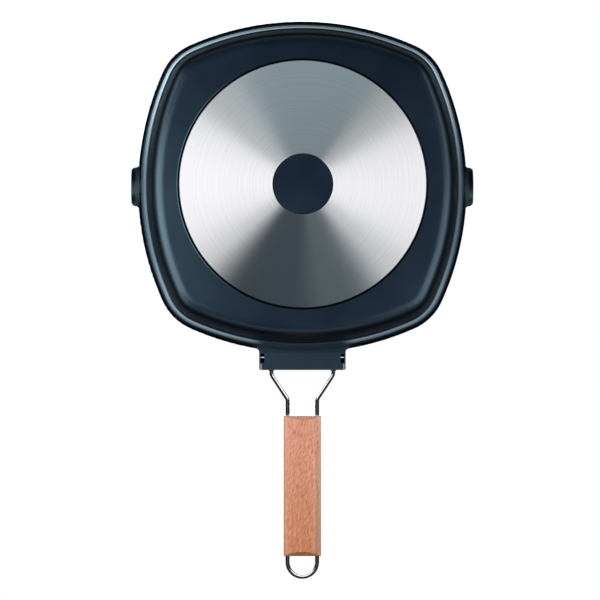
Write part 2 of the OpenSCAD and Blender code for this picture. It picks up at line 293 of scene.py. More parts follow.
    def bump(self, height: Value, depth: float, normal: Value | None = None) -> Socket:
        """Turns a height into a normal.

        Args:
            height: The height, from 0 to 1.
            depth: What a height of 1 measures, in metres.
            normal: The normal that the bump starts from.

        Returns:
            The bumped normal.
        """
        inputs: dict[str | int, Value] = {"Strength": 1.0, "Distance": depth, "Height": height}
        if normal is not None:
            inputs["Normal"] = normal
        return self.node("ShaderNodeBump", inputs).outputs[0]

    def soft_edges(self, radius: float) -> Socket:
        """Returns a normal that rounds sharp edges off by a radius, in metres."""
        return self.node("ShaderNodeBevel", {"Radius": radius}, samples=6).outputs[0]

    def effect(self, group: bpy.types.NodeTree, **inputs: Value) -> bpy.types.Node:
        """Places a shared effect.

        Args:
            group: The effect's node group.
            **inputs: The group's inputs by name.

        Returns:
            The group's node.
        """
        made = self.node("ShaderNodeGroup", node_tree=group)
        for name, value in inputs.items():
            self.put(made.inputs[name], value)
        return made


# --------------------------------------------------------------------------- shared effects


class Effect(ABC):
    """A surface effect that several finishes use, kept as one node group."""

    name: str
    inputs: dict[str, float]
    outputs: tuple[str, ...]

    def group(self) -> bpy.types.NodeTree:
        """Returns the effect's node group, made at the first call."""
        known = bpy.data.node_groups.get(self.name)
        if known is not None:
            return known
        tree = bpy.data.node_groups.new(self.name, "ShaderNodeTree")
        graph = Graph(tree)
        tree.interface.new_socket("Place", in_out="INPUT", socket_type="NodeSocketVector")
        for name, value in self.inputs.items():
            socket = tree.interface.new_socket(name, in_out="INPUT",
                                               socket_type="NodeSocketFloat")
            socket.default_value = value
        for name in self.outputs:
            tree.interface.new_socket(name, in_out="OUTPUT", socket_type="NodeSocketFloat")
        entry = graph.node("NodeGroupInput")
        leave = graph.node("NodeGroupOutput")
        results = self.draw(graph, {s.name: s for s in entry.outputs if s.name})
        for name, socket in results.items():
            graph.put(leave.inputs[name], socket)
        return tree

    @abstractmethod
    def draw(self, graph: Graph, given: dict[str, Socket]) -> dict[str, Socket]:
        """Draws the effect.

        Args:
            graph: The group's tree.
            given: The group's inputs by name.

        Returns:
            The group's outputs by name.
        """


class Ripple(Effect):
    """Soft unevenness of a sprayed, plated or lacquered skin: noise at two sizes."""

    name = "skin_ripple"
    inputs = {"Waves": 900.0, "Fine": 0.35}
    outputs = ("Height",)

    def draw(self, graph: Graph, given: dict[str, Socket]) -> dict[str, Socket]:
        """Adds a coarse noise and one three times finer. See the base class."""
        coarse = graph.noise(given["Place"], given["Waves"], detail=1.0)
        waves = graph.sum(Sum.TIMES, given["Waves"], 3.1)
        fine = graph.noise(given["Place"], waves, detail=1.0)
        height = graph.sum(Sum.ADD, coarse, graph.sum(Sum.TIMES, fine, given["Fine"]))
        return {"Height": height}


class Handling(Effect):
    """Faint marks of handling: broad cloudy patches, with finer wipes inside them."""

    name = "handling_marks"
    inputs = {"Waves": 22.0, "Share": 0.5}
    outputs = ("Mask",)

    def draw(self, graph: Graph, given: dict[str, Socket]) -> dict[str, Socket]:
        """Multiplies patches by wipes, and scales them by the share. See the base class."""
        patches = graph.noise(given["Place"], given["Waves"], detail=3.0, distortion=0.6)
        waves = graph.sum(Sum.TIMES, given["Waves"], 7.0)
        wipes = graph.noise(given["Place"], waves, detail=2.0, roughness=0.7)
        cloudy = graph.remap(patches, 0.42, 0.68, smooth=True)
        mask = graph.sum(Sum.TIMES, cloudy, graph.remap(wipes, *NOISE, 0.4, 1.0))
        return {"Mask": graph.sum(Sum.TIMES, mask, given["Share"])}


class Hairlines(Effect):
    """Hairline scratches in two directions, each a thin stretched noise cut off high."""

    name = "hairlines"
    inputs = {"Waves": 260.0}
    outputs = ("Mask",)

    def draw(self, graph: Graph, given: dict[str, Socket]) -> dict[str, Socket]:
        """Takes the stronger of two crossing sets of lines. See the base class."""
        sets = []
        for turn in (0.5, -1.1):
            turned = graph.node("ShaderNodeMapping", {
                "Vector": given["Place"], "Rotation": (0.2, 0.1, turn),
                "Scale": (1.0, 0.03, 1.0)}).outputs[0]
            lines = graph.noise(turned, given["Waves"], detail=0.0, distortion=0.2)
            sets.append(graph.remap(lines, 0.72, 0.80))
        return {"Mask": graph.sum(Sum.MOST, *sets)}


# --------------------------------------------------------------------------- finishes


class Finish(ABC):
    """A surface finish. Each kind is a frozen dataclass that paints one material."""

    name: str

    def material(self) -> bpy.types.Material:
        """Makes the material.

        Returns:
            The finished material, ready to assign.
        """
        made = bpy.data.materials.new(self.name)
        made.use_nodes = True
        graph = Graph(made.node_tree)
        shader = graph.node("ShaderNodeBsdfPrincipled")
        leave = graph.node("ShaderNodeOutputMaterial", {"Surface": shader.outputs[0]})
        leave.is_active_output = True
        self.paint(graph, shader.inputs)
        return made

    @abstractmethod
    def paint(self, graph: Graph, skin: Any) -> None:
        """Adds the nodes that colour the surface.

        Args:
            graph: The material's tree.
            skin: The input sockets of its Principled shader.
        """


@dataclass(frozen=True)
class Spot:
    """Where a point of the casting lies, as sockets that the coat's masks share.

    Attributes:
        place: Its coordinates.
        radius: Distance from the pan's upright axis.
        across: Distance from the plane between the two spouts, on either side.
        length: Position along the handle's direction, more towards the back.
        height: Height above the floor.
        to_left: Share of +X in the direction from the axis.
        facing: How squarely its face looks away from the axis: 0 on the base, 1 on the wall.
    """

    place: Socket
    radius: Socket
    across: Socket
    length: Socket
    height: Socket
    to_left: Socket
    facing: Socket

    @classmethod
    def read(cls, graph: Graph) -> Spot:
        """Adds the nodes that read the place and the normal.

        Args:
            graph: The material's tree.

        Returns:
            The sockets.
        """
        place = graph.place()
        flat = graph.along(Along.TIMES, place, (1.0, 1.0, 0.0))
        away = graph.along(Along.UNIT, flat)
        x, y, z = graph.parts(place)
        return cls(place, graph.along(Along.LENGTH, flat), graph.sum(Sum.SIZE, x), y, z,
                   graph.parts(away)[0], graph.along(Along.DOT, graph.normal(), away))


@dataclass(frozen=True)
class Zones:
    """Masks of the casting's zones, from 0 to 1.

    Attributes:
        upper: Everything from the bead up.
        spouts: The two spouts.
        tucked: Where the bead is tucked away above the bracket.
        groove: The groove round the ring.
    """

    upper: Socket
    spouts: Socket
    tucked: Socket
    groove: Socket


@dataclass(frozen=True)
class CoatedCasting(Finish):
    """Satin blue-black non-stick coat, sprayed on the casting and a little uneven.

    The flat base shows the coat's blue. Faces that turn outwards, the walls, the bead's outer
    side and the spouts, are painted nearly black as painted shade; a pale line along the bead
    under the rim is a painted highlight, strongest at the back; and the groove round the ring is
    painted dark as painted shade.

    Attributes:
        ring_r: The ring's radius, from the frame.
        half_w: Half the casting's width over the spouts, from the frame.
        front: Where the bracket ends towards the grip, from the frame.
        deep, thin: The coat's colours where it lies thick and thin.
        wall, groove_shade, wear_and_highlight, lip_highlight: Colours of the painted shade on the
        walls and spouts, the painted shade in the groove, the painted highlight along the bead
        and the bracket's side edges, and the painted highlight on the groove's outer edge.
        sheen: Tint of what the coat reflects.
        smooth, dull: Roughness of the coat, at least and at most.
        steep, rubbed, tucked: Roughness of the bead's outer side, of the bead and of its
            stretch above the bracket.
        wall_shade_slope, steep_slope: Slopes, as sines, over which the walls' painted shade and
            the bead's glossy outer side set in.
        highlight_slope: Slopes of the bead that carry its painted highlight.
        bead_from, bead_to: Heights where the bead starts and where its painted highlight ends.
        back_side, back_highlight: Places along the pan where the painted highlight grows towards
            the back, and its shares there.
        front_side, front_highlight: The same towards the front.
        tuck_half, tuck_in: Half width of the bead's tucked stretch, and its place, inwards
            from front.
        spout_in, spout_up: Where the spouts start, inwards from half_w, and in height.
        spout_gloss: How much of the bead's outer gloss the spouts have.
        bracket_in, bracket_edge, bracket_highlight: Where the painted highlights along the
        bracket's side edges start, inwards from front, their distances from the middle, and their
        share.
        groove_w, lip_w, groove_blur, groove_up: Widths of the groove and of the painted highlight
            on its outer edge, the width over which they fade, and the heights where both end.
        lip_side: Shares of +X over which the painted highlight on the groove's outer edge sets
            in, on the side where the light falls.
        cloud_waves: Waves of the coat's uneven thickness, in a metre.
        fleck_waves, fleck_from, fleck_share, fleck_gain: Waves of its pale flecks, the noise
            over which they set in, how much they show and how much paler they are.
        marks_rough: How much handling adds to the roughness.
        peel_waves, peel_depth: Waves and depth of its orange peel.
        edge_radius: Radius of the casting's edges.
        ior: The coat's index of refraction.
    """

    ring_r: float
    half_w: float
    front: float
    name: str = "coated_casting"
    deep: Colour = (0.0032, 0.0064, 0.0142)
    thin: Colour = (0.0048, 0.0090, 0.0186)
    wall: Colour = (0.0008, 0.0018, 0.0034)
    groove_shade: Colour = (0.0006, 0.0012, 0.0022)
    wear_and_highlight: Colour = (0.620, 0.730, 0.800)
    lip_highlight: Colour = (0.075, 0.125, 0.165)
    sheen: Colour = (0.66, 0.88, 1.0)
    smooth: float = 0.34
    dull: float = 0.40
    steep: float = 0.14
    rubbed: float = 0.55
    tucked: float = 0.95
    wall_shade_slope: Span = (0.35, 0.85)
    steep_slope: Span = (0.62, 0.80)
    highlight_slope: Band = (0.22, 0.36, 0.46, 0.58)
    bead_from: Span = (0.0296, 0.0300)
    bead_to: Span = (0.0335, 0.0345)
    back_side: Span = (0.0, 0.11)
    back_highlight: Span = (0.11, 1.0)
    front_side: Span = (-0.04, -0.11)
    front_highlight: Span = (0.11, 0.30)
    tuck_half: Span = (0.046, 0.032)
    tuck_in: Band = (0.0140, 0.0160, 0.0365, 0.0565)
    spout_in: Span = (0.0047, 0.0027)
    spout_up: Span = (0.0300, 0.0310)
    spout_gloss: float = 0.7
    bracket_in: Span = (0.0085, 0.0045)
    bracket_edge: Band = (0.0342, 0.0348, 0.0354, 0.0360)
    bracket_highlight: float = 0.30
    groove_w: float = 0.0014
    lip_w: float = 0.0005
    groove_blur: float = 0.0003
    groove_up: Span = (0.0025, 0.0030)
    lip_side: Span = (0.45, 0.95)
    cloud_waves: float = 28.0
    fleck_waves: float = 2600.0
    fleck_from: Span = (0.66, 0.80)
    fleck_share: float = 0.5
    fleck_gain: float = 2.4
    marks_rough: float = 0.12
    peel_waves: float = 850.0
    peel_depth: float = 0.000022
    edge_radius: float = 0.0003
    ior: float = 1.52

    def paint(self, graph: Graph, skin: Any) -> None:
        """Clouds the colour, paints in shade and highlights, and roughens and dimples the coat.
        See the base class.
        """
        spot = Spot.read(graph)
        zones = self._zones(graph, spot)
        clouds = graph.noise(spot.place, self.cloud_waves, detail=4.0)
        graph.put(skin["Base Color"], self._colour(graph, spot, zones, clouds))
        graph.put(skin["Roughness"], self._roughness(graph, spot, zones, clouds))
        peel = graph.effect(Ripple().group(), Place=spot.place, Waves=self.peel_waves, Fine=0.4)
        graph.put(skin["Normal"], graph.bump(peel.outputs["Height"], self.peel_depth,
                                             graph.soft_edges(self.edge_radius)))
        skin["IOR"].default_value = self.ior
        skin["Specular Tint"].default_value = (*self.sheen, 1.0)

    def _zones(self, graph: Graph, spot: Spot) -> Zones:
        """Finds the zones by their places.

        Args:
            graph: The material's tree.
            spot: Where the point lies.

        Returns:
            The masks.
        """
        outer = [self.half_w - inwards for inwards in self.spout_in]
        spouts = graph.sum(Sum.TIMES, graph.remap(spot.across, *outer),
                           graph.remap(spot.height, *self.spout_up))
        behind = graph.band(spot.length, tuple(self.front + inwards for inwards in self.tuck_in))
        tucked = graph.sum(Sum.TIMES, graph.remap(spot.across, *self.tuck_half, smooth=True),
                           behind)
        upper = graph.remap(spot.height, *self.bead_from, smooth=True)
        groove = self._round(graph, spot, self.ring_r, self.groove_w)
        return Zones(upper, spouts, tucked, groove)

    def _colour(self, graph: Graph, spot: Spot, zones: Zones, clouds: Socket) -> Socket:
        """Lays the coat's colours over each other: spray, painted shade and painted highlights.

        Args:
            graph: The material's tree.
            spot: Where the point lies.
            zones: The casting's zones.
            clouds: Uneven thickness of the coat, from 0 to 1.

        Returns:
            The colour.
        """
        colour = graph.mix(graph.remap(clouds, *NOISE), self.deep, self.thin)
        fleck = graph.noise(spot.place, self.fleck_waves, detail=1.0)
        lighter = tuple(self.fleck_gain * level for level in self.thin)
        flecks = graph.remap(fleck, *self.fleck_from, 0.0, self.fleck_share)
        colour = graph.mix(flecks, colour, lighter)
        # Painted shade: faces that turn outwards, the walls and the bead's outer side, are
        # painted nearly black.
        steep = graph.remap(spot.facing, *self.wall_shade_slope, smooth=True)
        colour = graph.mix(steep, colour, self.wall)
        # Painted highlight: a pale line along the bead, strongest at the back.
        colour = graph.mix(self._bead_highlight(graph, spot, zones), colour, self.wear_and_highlight)
        # Painted shade: the spouts are painted as dark as the walls.
        colour = graph.mix(zones.spouts, colour, self.wall)
        # Painted highlight: thin pale lines along the bracket's side edges.
        end = [self.front + inwards for inwards in self.bracket_in]
        edges = graph.band(spot.across, self.bracket_edge, self.bracket_highlight)
        edges = graph.sum(Sum.TIMES, graph.remap(spot.length, *end), edges)
        colour = graph.mix(edges, colour, self.wear_and_highlight)
        # Painted highlight: a thin pale ring on the groove's outer edge, on the +X side where the
        # light falls.
        lip_highlight = self._round(graph, spot, self.ring_r + self.groove_w, self.lip_w)
        lip_highlight = graph.sum(Sum.TIMES, lip_highlight, graph.remap(spot.to_left, *self.lip_side, smooth=True))
        colour = graph.mix(lip_highlight, colour, self.lip_highlight)
        # Painted shade: the groove round the ring is painted nearly black.
        return graph.mix(zones.groove, colour, self.groove_shade)

    def _roughness(self, graph: Graph, spot: Spot, zones: Zones, clouds: Socket) -> Socket:
        """Roughens the coat by its thickness and by what rubs it.

        Args:
            graph: The material's tree.
            spot: Where the point lies.
            zones: The casting's zones.
            clouds: Uneven thickness of the coat, from 0 to 1.

        Returns:
            The roughness.
        """
        marks = graph.effect(Handling().group(), Place=spot.place, Waves=18.0, Share=0.35)
        rough = graph.remap(clouds, 0.25, 0.75, self.smooth, self.dull)
        wiped = graph.sum(Sum.TIMES, marks.outputs["Mask"], self.marks_rough)
        rough = graph.sum(Sum.ADD, rough, wiped)
        rough = graph.blend(zones.upper, rough, self.rubbed)
        steep = graph.sum(Sum.TIMES, graph.remap(spot.facing, *self.steep_slope, smooth=True),
                          zones.upper)
        steep = graph.sum(Sum.MOST, steep, graph.sum(Sum.TIMES, zones.spouts, self.spout_gloss))
        rough = graph.blend(graph.sum(Sum.MOST, zones.groove, steep), rough, self.steep)
        return graph.blend(graph.sum(Sum.TIMES, zones.tucked, zones.upper), rough, self.tucked)

    def _bead_highlight(self, graph: Graph, spot: Spot, zones: Zones) -> Socket:
        """Returns where the bead gets its painted highlight, strongest at the back and left out
        above the bracket.

        Args:
            graph: The material's tree.
            spot: Where the point lies.
            zones: The casting's zones.

        Returns:
            The mask, from 0 to 1.
        """
        band = graph.band(spot.facing, self.highlight_slope, smooth=True)
        below = graph.remap(spot.height, *self.bead_to, 1.0, 0.0)
        side = graph.sum(
            Sum.MOST, graph.remap(spot.length, *self.back_side, *self.back_highlight, smooth=True),
            graph.remap(spot.length, *self.front_side, *self.front_highlight, smooth=True))
        side = graph.sum(Sum.TIMES, side, graph.sum(Sum.TAKE, 1.0, zones.tucked))
        return graph.sum(Sum.TIMES, graph.sum(Sum.TIMES, band, below),
                         graph.sum(Sum.TIMES, side, zones.upper))

    def _round(self, graph: Graph, spot: Spot, near: float, width: float) -> Socket:
        """Returns 1 in a thin band round the ring, on the base, and 0 elsewhere.

        Args:
            graph: The material's tree.
            spot: Where the point lies.
            near: The band's inner radius.
            width: Its width.

        Returns:
            The mask, from 0 to 1.
        """
        far = near + width
        blur = self.groove_blur
        band = graph.band(spot.radius, (near - blur, near, far, far + blur))
        return graph.sum(Sum.TIMES, band, graph.remap(spot.height, *self.groove_up, 1.0, 0.0))


@dataclass(frozen=True)
class Wedge:
    """A wedge of the ring whose reflection is painted darker, as painted shade.

    Attributes:
        aim: Direction of its middle line from the ring's centre.
        edge: Cosine of the angle from that line where it starts.
        full: Cosine of the angle where it is full.
        share: How much it darkens the steel there.
    """

    aim: Point
    edge: float
    full: float
    share: float


@dataclass(frozen=True)
class TurnedSteel(Finish):
    """Bright steel faced on a lathe: every mark runs round the centre.

    Attributes:
        rim_r: The ring's radius, from the frame.
        groove_shade: Colour of the last trace of steel next to the groove, painted shade that
            carries on the groove's dark line.
        shaded_fan: Colour of the darker wedges, painted shade that dims the ring's reflection.
        bright, dark: Colours of the turned bands.
        rim_in: Where that painted shade starts and is full, inwards from the rim.
        wedges: Where the ring's reflection is painted darker, on the handle's side.
        fine_waves, band_waves: Turning marks and bands in a metre.
        groove_depth: Depth of the turning marks.
        stretch: How far the marks stretch a highlight, from 0 to 1.
        smooth, dull: Roughness, at least and at most.
        marks_rough: How much handling adds to it.
    """

    rim_r: float
    name: str = "turned_steel"
    groove_shade: Colour = (0.020, 0.028, 0.038)
    shaded_fan: Colour = (0.200, 0.212, 0.235)
    bright: Colour = (0.76, 0.755, 0.765)
    dark: Colour = (0.69, 0.69, 0.70)
    rim_in: Span = (0.0006, 0.0002)
    wedges: tuple[Wedge, Wedge] = (Wedge((0.342, -0.940, 0.0), 0.850, 0.985, 0.85),
                                   Wedge((-0.070, -0.998, 0.0), 0.740, 0.920, 0.62))
    fine_waves: float = 1500.0
    band_waves: float = 800.0
    groove_depth: float = 0.0000015
    stretch: float = 1.0
    smooth: float = 0.48
    dull: float = 0.51
    marks_rough: float = 0.05

    def paint(self, graph: Graph, skin: Any) -> None:
        """Draws the turning lines by distance from the centre, and points the grain.

        The grain's direction is the unit vector from the centre, because grooves that run
        round the centre spread light across themselves. See the base class.
        """
        place = graph.place()
        flat = graph.along(Along.TIMES, place, (1.0, 1.0, 0.0))
        unit = graph.along(Along.UNIT, flat)
        radius = graph.along(Along.LENGTH, flat)
        fine = graph.line_noise(radius, self.fine_waves, detail=2.0)
        bands = graph.line_noise(radius, self.band_waves, detail=3.0)
        marks = graph.effect(Handling().group(), Place=place, Waves=30.0, Share=0.4)
        colour = graph.mix(graph.remap(bands, *NOISE), self.dark, self.bright)
        # Painted shade: two wedges on the handle's side dim the ring's reflection.
        colour = graph.mix(self._shaded_fans(graph, unit), colour, self.shaded_fan)
        # Painted shade: the ring's outermost trace, next to the groove, is painted dark.
        rim = graph.remap(radius, *(self.rim_r - inwards for inwards in self.rim_in))
        graph.put(skin["Base Color"], graph.mix(rim, colour, self.groove_shade))
        rough = graph.remap(fine, *NOISE, self.smooth, self.dull)
        wiped = graph.sum(Sum.TIMES, marks.outputs["Mask"], self.marks_rough)
        graph.put(skin["Roughness"], graph.sum(Sum.ADD, rough, wiped))
        lines = graph.sum(Sum.ADD, fine, graph.sum(Sum.TIMES, bands, 0.5))
        graph.put(skin["Normal"], graph.bump(lines, self.groove_depth))
        graph.put(skin["Tangent"], unit)
        skin["Metallic"].default_value = 1.0
        skin["Anisotropic"].default_value = self.stretch

    def _shaded_fans(self, graph: Graph, unit: Socket) -> Socket:
        """Returns where the ring's reflection is painted darker: two wedges, each dulling what
        the other leaves.

        Args:
            graph: The material's tree.
            unit: Direction from the ring's centre.

        Returns:
            The mask, from 0 to 1: first + second - first * second.
        """
        masks = [graph.remap(graph.along(Along.DOT, unit, wedge.aim), wedge.edge, wedge.full,
                             0.0, wedge.share, smooth=True) for wedge in self.wedges]
        both = graph.sum(Sum.ADD, *masks)
        return graph.sum(Sum.TAKE, both, graph.sum(Sum.TIMES, *masks))


@dataclass(frozen=True)
class ChromedWire(Finish):
    """Bright plating over drawn wire, with faint wipes and hairlines.

    Attributes:
        plate, dim: Colours of the plating where it is clean and where it is worn.
        smooth, worn: Its roughness there.
        ripple_waves: Ripples in a metre.
        ripple_depth: Their depth.
    """

    name: str = "chromed_wire"
    plate: Colour = (0.72, 0.73, 0.74)
    dim: Colour = (0.60, 0.61, 0.62)
    smooth: float = 0.08
    worn: float = 0.18
    ripple_waves: float = 300.0
    ripple_depth: float = 0.000010

    def paint(self, graph: Graph, skin: Any) -> None:
        """Dulls the plating along wipes and hairlines. See the base class."""
        place = graph.place()
        marks = graph.effect(Handling().group(), Place=place, Waves=60.0, Share=0.8)
        lines = graph.effect(Hairlines().group(), Place=place, Waves=900.0)
        wear_and_highlight = graph.sum(Sum.MOST, marks.outputs["Mask"],
                         graph.sum(Sum.TIMES, lines.outputs["Mask"], 0.6))
        graph.put(skin["Base Color"], graph.mix(wear_and_highlight, self.plate, self.dim))
        graph.put(skin["Roughness"], graph.remap(wear_and_highlight, 0.0, 1.0, self.smooth, self.worn))
        ripple = graph.effect(Ripple().group(), Place=place, Waves=self.ripple_waves, Fine=0.2)
        graph.put(skin["Normal"], graph.bump(ripple.outputs["Height"], self.ripple_depth))
        skin["Metallic"].default_value = 1.0


@dataclass(frozen=True)
class Beech(Finish):
    """Sanded beech with a thin lacquer. Its grain runs along the handle, which is Y.

    The wood is redder next to the pan, and darker along its long edges, most of all at -X; faces
    that look towards the far end are painted darker as painted shade, and the end next to the pan
    is painted lighter and greyer as a painted highlight.

    Attributes:
        near_y, far_y, half: The grip's end next to the pan, its far end and half its width,
            from the frame.
        near, far: The wood's colours at these ends.
        fleck, ray: Colours of its dark dashes and its pale rays.
        late_wood: Colour of the late part of each growth ring.
        near_end_highlight, edge_dark_and_end_shade: Colours of the painted highlight at the end
        next to the pan, and of the darker edges and the painted shade towards the far end.
        late_share, fibre_share, fleck_share, ray_share, tip_share: How much each shows.
        edge_in, edge_share: Where the edge at -X turns darker, and how much.
        waver: How far that dark band's border wavers.
        other_in, other_share: The same for the edge at +X.
        end_slope, end_share: The same, as painted shade, for faces that look towards the far end,
            by how squarely they look there.
        tip_in: Where the painted highlight at the end next to the pan starts and is full, inwards
            from near_y.
        ring_waves, fibre_waves, fleck_waves: Waves in a metre.
        fleck_draw: The flecks' waves along the grain, as a share of those across it.
        lean: Angle of the flecks to the grain.
        pore_depth: Depth of the fibres.
        edge_radius: Radius of the sanded edges.
        smooth, dull: Roughness of the wood, at least and at most.
        lacquer, lacquer_rough: Weight and roughness of the lacquer.
    """

    near_y: float
    far_y: float
    half: float
    name: str = "beech"
    near: Colour = (0.505, 0.224, 0.154)
    far: Colour = (0.345, 0.110, 0.034)
    fleck: Colour = (0.200, 0.068, 0.030)
    ray: Colour = (0.640, 0.330, 0.210)
    near_end_highlight: Colour = (0.330, 0.270, 0.240)
    late_wood: Colour = (0.470, 0.190, 0.100)
    edge_dark_and_end_shade: Colour = (0.170, 0.068, 0.016)
    late_share: float = 0.38
    fibre_share: float = 0.35
    fleck_share: float = 0.55
    ray_share: float = 0.45
    tip_share: float = 0.6
    edge_in: Span = (0.0055, 0.0030)
    edge_share: float = 0.68
    waver: float = 0.0008
    other_in: Span = (0.0016, 0.0004)
    other_share: float = 0.5
    end_slope: Span = (0.05, 0.35)
    end_share: float = 0.75
    tip_in: Span = (0.0022, 0.0010)
    ring_waves: float = 150.0
    fibre_waves: float = 1500.0
    fleck_waves: float = 1100.0
    fleck_draw: float = 0.19
    lean: float = -0.35
    pore_depth: float = 0.00004
    edge_radius: float = 0.0005
    smooth: float = 0.42
    dull: float = 0.56
    lacquer: float = 0.25
    lacquer_rough: float = 0.3

    def paint(self, graph: Graph, skin: Any) -> None:
        """Lays growth rings, fibres and short ray flecks over each other.

        Rings are a sine of the distance across slightly bent layers; fibres are a noise drawn
        out along Y, and flecks lean a little across them. See the base class.
        """
        place = graph.place()
        across, length, _ = graph.parts(place)
        colour = graph.mix(graph.remap(length, self.near_y, self.far_y), self.near, self.far)
        late = graph.sum(Sum.TIMES, self._rings(graph, place), self.late_share)
        colour = graph.mix(late, colour, self.late_wood)
        fibres = self._drawn_out(graph, place, self.fibre_waves, 0.02, 3.0)
        colour = graph.mix(graph.remap(fibres, 0.35, 0.75, 0.0, self.fibre_share), colour,
                           self.late_wood)
        turned = graph.node("ShaderNodeMapping", {
            "Vector": place, "Rotation": (0.0, 0.0, self.lean)}).outputs[0]
        flecks = self._drawn_out(graph, turned, self.fleck_waves, self.fleck_draw, 1.0)
        dashes = graph.remap(flecks, 0.52, 0.68)
        colour = graph.mix(graph.sum(Sum.TIMES, dashes, self.fleck_share), colour, self.fleck)
        colour = graph.mix(graph.remap(flecks, 0.44, 0.30, 0.0, self.ray_share), colour, self.ray)
        # Darker long edges, and painted shade on faces that look towards the far end.
        colour = graph.mix(self._edge_dark_and_end_shade(graph, place, across, length), colour, self.edge_dark_and_end_shade)
        # Painted highlight: the end next to the pan, where its face slopes, is painted lighter
        # and greyer.
        near_end_sheen = graph.remap(length, *(self.near_y - inwards for inwards in self.tip_in),
                              0.0, self.tip_share)
        graph.put(skin["Base Color"], graph.mix(near_end_sheen, colour, self.near_end_highlight))
        graph.put(skin["Roughness"], graph.remap(fibres, *NOISE, self.smooth, self.dull))
        height = graph.sum(Sum.TAKE, fibres, graph.sum(Sum.TIMES, dashes, 0.5))
        graph.put(skin["Normal"], graph.bump(height, self.pore_depth,
                                             graph.soft_edges(self.edge_radius)))
        skin["Coat Weight"].default_value = self.lacquer
        skin["Coat Roughness"].default_value = self.lacquer_rough

    def _edge_dark_and_end_shade(self, graph: Graph, place: Socket, across: Socket, length: Socket) -> Socket:
        """Returns where the wood is darker: along both long edges, and as painted shade on faces
        that look towards the far end.

        Args:
            graph: The material's tree.
            place: The place on the grip.
            across: Its X.
            length: Its Y.

        Returns:
            The mask, from 0 to 1.
        """
        uneven = graph.noise(graph.along(Along.TIMES, place, (1.0, 0.3, 1.0)), 60.0, detail=2.0)
        shifted = graph.sum(Sum.ADD, across, graph.remap(uneven, *NOISE, -self.waver, self.waver))
        edge = graph.remap(shifted, *(inwards - self.half for inwards in self.edge_in),
                           0.0, self.edge_share, smooth=True)
        edge = graph.sum(Sum.TIMES, edge, graph.remap(length, self.near_y, self.far_y, 0.3, 1.0))
        other = graph.remap(across, *(self.half - inwards for inwards in self.other_in),
                            0.0, self.other_share)
        # Painted shade: faces that look towards the far end, -Y, are darker.
        facing = graph.along(Along.DOT, graph.normal(), (0.0, -1.0, 0.0))
        end = graph.remap(facing, *self.end_slope, 0.0, self.end_share)
        return graph.sum(Sum.MOST, graph.sum(Sum.MOST, edge, other), end)

    def _rings(self, graph: Graph, place: Socket) -> Socket:
        """Returns growth rings: a sine of the distance across bent, leaning layers.

        Args:
            graph: The material's tree.
            place: The place on the grip.

        Returns:
            Bands from 0 to 1.
        """
        slow = graph.along(Along.TIMES, place, (1.0, 0.12, 1.0))
        bend = graph.noise(slow, 32.0, detail=2.0)
        lean = graph.along(Along.DOT, place, (0.86, 0.02, 0.5))
        layers = graph.sum(Sum.ADD, lean, graph.sum(Sum.TIMES, bend, 0.03))
        wave = graph.sum(Sum.SINE, graph.sum(Sum.TIMES, layers, 2 * math.pi * self.ring_waves))
        return graph.remap(wave, -1.0, 1.0)

    def _drawn_out(self, graph: Graph, place: Socket, waves: float, share: float,
                   detail: float) -> Socket:
        """Returns a noise whose waves are 1 / share times longer along Y."""
        drawn = graph.along(Along.TIMES, place, (1.0, share, 1.0))
        return graph.noise(drawn, waves, detail=detail, roughness=0.6)


# --------------------------------------------------------------------------- sub-assemblies


@dataclass
class SubAssembly(ABC):
    """A rigid group of pieces that moves as one.

    Attributes:
        finishes: The finish of each piece.
    """

    frame: dict[str, Any]
    finishes: dict[Piece, Finish] = field(default_factory=dict)

    def dress(self) -> None:
        """Gives each piece its finish and reports it."""
        for piece, finish in self.finishes.items():
            node = self.frame["nodes"][piece.value]
            node.data.materials.clear()
            node.data.materials.append(finish.material())
            low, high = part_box(piece.value)
            size = [round(1000 * (b - a), 1) for a, b in zip(low, high)]
            LOG.info("%s: %s, %s mm, %d faces", piece.value, finish.name, size,
                     len(node.data.polygons))


@dataclass
class CastPan(SubAssembly):
    """The coated casting and the turned ring in its base."""

    def __post_init__(self) -> None:
        """Chooses the finishes, and fits them to the ring's and the casting's sizes."""
        ring_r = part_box(Piece.RING.value)[1].x
        low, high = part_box(Piece.CASTING.value)
        self.finishes = {Piece.CASTING: CoatedCasting(ring_r, high.x, low.y),
                         Piece.RING: TurnedSteel(ring_r)}


@dataclass
class WireHandle(SubAssembly):
    """The folding handle: plated wire through a wooden grip."""

    def __post_init__(self) -> None:
        """Chooses the finishes, and fits the wood's gradient to the grip's length."""
        low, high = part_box(Piece.GRIP.value)
        self.finishes = {Piece.WIRE: ChromedWire(), Piece.GRIP: Beech(high.y, low.y, high.x)}


# --------------------------------------------------------------------------- studio


